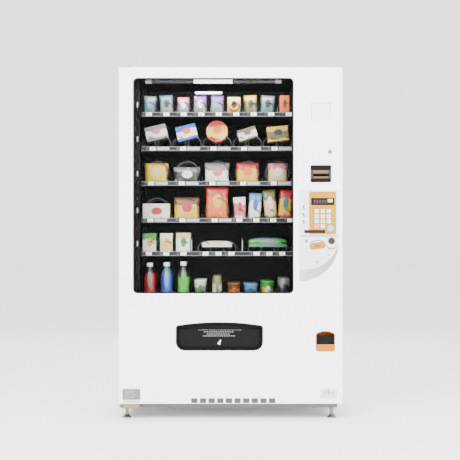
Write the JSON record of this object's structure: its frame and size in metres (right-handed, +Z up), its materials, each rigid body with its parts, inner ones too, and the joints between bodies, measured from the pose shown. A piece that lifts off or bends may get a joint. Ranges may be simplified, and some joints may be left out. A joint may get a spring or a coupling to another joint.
{
  "type": "snack vending machine",
  "caption": "Free-standing glass-fronted snack vending machine with spiral coil trays, hinged door, keypad payment column, delivery flap and coin return.",
  "frame": {"origin": "bottom centre of the bounding box, on the floor under the levelling feet", "axes": "+Z up, the door faces -Y, +X to the right of someone standing in front"},
  "size_m": [1.154, 0.8, 1.83],
  "materials": {
    "painted_white": "satin",
    "liner_grey": "matte",
    "frame_grey": "satin",
    "zinc_steel": "satin",
    "dark_steel": "satin",
    "black_enamel": "gloss",
    "fin_aluminium": "brushed",
    "black_plastic": "matte",
    "coil_black": "satin",
    "window_glass": "polished",
    "plate_grey": "satin",
    "orange_panel": "satin",
    "display_lens": "gloss",
    "yellow_plastic": "satin",
    "key_white": "satin",
    "key_red": "satin",
    "key_blue": "satin",
    "mech_grey": "matte",
    "lamp": "satin"
  },
  "bodies": {
    "cabinet": {"cabinet_shell": "painted_white", "cabinet_liner": "liner_grey", "base_frame": "frame_grey", "levelling_feet": "zinc_steel", "hinge_brackets": "zinc_steel", "tray_runners": "zinc_steel", "delivery_bin": "dark_steel", "compressor": "black_enamel", "condenser": "fin_aluminium", "evaporator": "fin_aluminium", "power_box": "black_plastic"},
    "door": {"door_skin": "painted_white", "door_liner": "liner_grey", "window_glass": "window_glass", "window_trim": "black_plastic", "control_plate": "plate_grey", "keypad_panel": "orange_panel", "display_lens": "display_lens", "coin_slot_bezel": "yellow_plastic", "bill_validator": "black_plastic", "coin_mechanism": "mech_grey", "coin_return_cup": "orange_panel", "delivery_bezel": "black_plastic", "reader_blank": "painted_white", "light_bar": "lamp"},
    "condenser_fan": {"condenser_fan": "black_plastic"},
    "evaporator_fan": {"evaporator_fan": "black_plastic"},
    "delivery_flap": {"delivery_flap": "black_plastic"},
    "coin_return_flap": {"coin_return_flap": "black_plastic"},
    "coin_return_lever": {"coin_return_lever": "black_plastic"},
    "lock_barrel": {"lock_barrel": "zinc_steel"},
    "latch_bar": {"latch_bar": "zinc_steel"},
    "key_1": {"key_1": "key_white"},
    "key_2": {"key_2": "key_white"},
    "key_3": {"key_3": "key_white"},
    "key_4": {"key_4": "key_white"},
    "key_5": {"key_5": "key_white"},
    "key_6": {"key_6": "key_white"},
    "key_7": {"key_7": "key_white"},
    "key_8": {"key_8": "key_white"},
    "key_9": {"key_9": "key_white"},
    "key_0": {"key_0": "key_white"},
    "key_cancel": {"key_cancel": "key_red"},
    "key_select": {"key_select": "key_blue"},
    "tray_1": {"tray_1": "dark_steel", "coils_1": "coil_black"},
    "tray_2": {"tray_2": "dark_steel", "coils_2": "coil_black"},
    "tray_3": {"tray_3": "dark_steel"},
    "tray_4": {"tray_4": "dark_steel", "coils_4": "coil_black"},
    "tray_5": {"tray_5": "dark_steel", "coils_5": "coil_black"},
    "tray_6": {"tray_6": "dark_steel", "coils_6": "coil_black"},
    "coil_3_1": {"coil_3_1": "coil_black"},
    "coil_3_2": {"coil_3_2": "coil_black"},
    "coil_3_3": {"coil_3_3": "coil_black"},
    "coil_3_4": {"coil_3_4": "coil_black"},
    "coil_3_5": {"coil_3_5": "coil_black"}
  },
  "joints": [
    {"name": "door_hinge", "type": "hinge", "parent": "cabinet", "child": "door", "pos_m": [-0.565, -0.376, 0.9], "axis": [0, 0, -1], "range_deg": [0, 110]},
    {"name": "delivery_flap_hinge", "type": "hinge", "parent": "door", "child": "delivery_flap", "pos_m": [-0.0575, -0.368, 0.47], "axis": [1, 0, 0], "range_deg": [0, 65]},
    {"name": "coin_return_flap_hinge", "type": "hinge", "parent": "door", "child": "coin_return_flap", "pos_m": [0.4885, -0.38, 0.436], "axis": [1, 0, 0], "range_deg": [0, 50]},
    {"name": "coin_return_lever_turn", "type": "hinge", "parent": "door", "child": "coin_return_lever", "pos_m": [0.52, -0.388, 0.926], "axis": [0, 1, 0], "range_deg": [0, 40], "stiffness_Nm_per_rad": 0.02},
    {"name": "lock_turn", "type": "hinge", "parent": "door", "child": "lock_barrel", "pos_m": [0.512, -0.388, 1.385], "axis": [0, 1, 0], "range_deg": [0, 92]},
    {"name": "latch_slide", "type": "slide", "parent": "door", "child": "latch_bar", "axis": [0, 0, -1], "range_m": [0, 0.014]},
    {"name": "condenser_fan_spin", "type": "hinge", "parent": "cabinet", "child": "condenser_fan", "pos_m": [0.01375, -0.16, 0.192], "axis": [0, 1, 0], "continuous": true},
    {"name": "evaporator_fan_spin", "type": "hinge", "parent": "cabinet", "child": "evaporator_fan", "pos_m": [-0.0715, 0.061, 0.445], "axis": [0, 1, 0], "continuous": true},
    {"name": "key_1_press", "type": "slide", "parent": "door", "child": "key_1", "axis": [0, 1, 0], "range_m": [0, 0.0025], "stiffness_N_per_m": 400},
    {"name": "key_2_press", "type": "slide", "parent": "door", "child": "key_2", "axis": [0, 1, 0], "range_m": [0, 0.0025], "stiffness_N_per_m": 400},
    {"name": "key_3_press", "type": "slide", "parent": "door", "child": "key_3", "axis": [0, 1, 0], "range_m": [0, 0.0025], "stiffness_N_per_m": 400},
    {"name": "key_4_press", "type": "slide", "parent": "door", "child": "key_4", "axis": [0, 1, 0], "range_m": [0, 0.0025], "stiffness_N_per_m": 400},
    {"name": "key_5_press", "type": "slide", "parent": "door", "child": "key_5", "axis": [0, 1, 0], "range_m": [0, 0.0025], "stiffness_N_per_m": 400},
    {"name": "key_6_press", "type": "slide", "parent": "door", "child": "key_6", "axis": [0, 1, 0], "range_m": [0, 0.0025], "stiffness_N_per_m": 400},
    {"name": "key_7_press", "type": "slide", "parent": "door", "child": "key_7", "axis": [0, 1, 0], "range_m": [0, 0.0025], "stiffness_N_per_m": 400},
    {"name": "key_8_press", "type": "slide", "parent": "door", "child": "key_8", "axis": [0, 1, 0], "range_m": [0, 0.0025], "stiffness_N_per_m": 400},
    {"name": "key_9_press", "type": "slide", "parent": "door", "child": "key_9", "axis": [0, 1, 0], "range_m": [0, 0.0025], "stiffness_N_per_m": 400},
    {"name": "key_0_press", "type": "slide", "parent": "door", "child": "key_0", "axis": [0, 1, 0], "range_m": [0, 0.0025], "stiffness_N_per_m": 400},
    {"name": "key_cancel_press", "type": "slide", "parent": "door", "child": "key_cancel", "axis": [0, 1, 0], "range_m": [0, 0.0025], "stiffness_N_per_m": 400},
    {"name": "key_select_press", "type": "slide", "parent": "door", "child": "key_select", "axis": [0, 1, 0], "range_m": [0, 0.0025], "stiffness_N_per_m": 400},
    {"name": "tray_1_slide", "type": "slide", "parent": "cabinet", "child": "tray_1", "axis": [0, -1, 0], "range_m": [0, 0.1]},
    {"name": "tray_2_slide", "type": "slide", "parent": "cabinet", "child": "tray_2", "axis": [0, -1, 0], "range_m": [0, 0.1]},
    {"name": "tray_3_slide", "type": "slide", "parent": "cabinet", "child": "tray_3", "axis": [0, -1, 0], "range_m": [0, 0.1]},
    {"name": "tray_4_slide", "type": "slide", "parent": "cabinet", "child": "tray_4", "axis": [0, -1, 0], "range_m": [0, 0.1]},
    {"name": "tray_5_slide", "type": "slide", "parent": "cabinet", "child": "tray_5", "axis": [0, -1, 0], "range_m": [0, 0.1]},
    {"name": "tray_6_slide", "type": "slide", "parent": "cabinet", "child": "tray_6", "axis": [0, -1, 0], "range_m": [0, 0.045]},
    {"name": "coil_3_1_turn", "type": "hinge", "parent": "tray_3", "child": "coil_3_1", "pos_m": [-0.3915, 0, 1.2835], "axis": [0, 1, 0], "continuous": true},
    {"name": "coil_3_2_turn", "type": "hinge", "parent": "tray_3", "child": "coil_3_2", "pos_m": [-0.2315, 0, 1.2835], "axis": [0, 1, 0], "continuous": true},
    {"name": "coil_3_3_turn", "type": "hinge", "parent": "tray_3", "child": "coil_3_3", "pos_m": [-0.0715, 0, 1.2835], "axis": [0, 1, 0], "continuous": true},
    {"name": "coil_3_4_turn", "type": "hinge", "parent": "tray_3", "child": "coil_3_4", "pos_m": [0.0885, 0, 1.2835], "axis": [0, 1, 0], "continuous": true},
    {"name": "coil_3_5_turn", "type": "hinge", "parent": "tray_3", "child": "coil_3_5", "pos_m": [0.2485, 0, 1.2835], "axis": [0, 1, 0], "continuous": true}
  ],
  "couplings": [
    {"joint": "lock_turn", "follows": "latch_slide", "rad_per_m": 112.2}
  ]
}
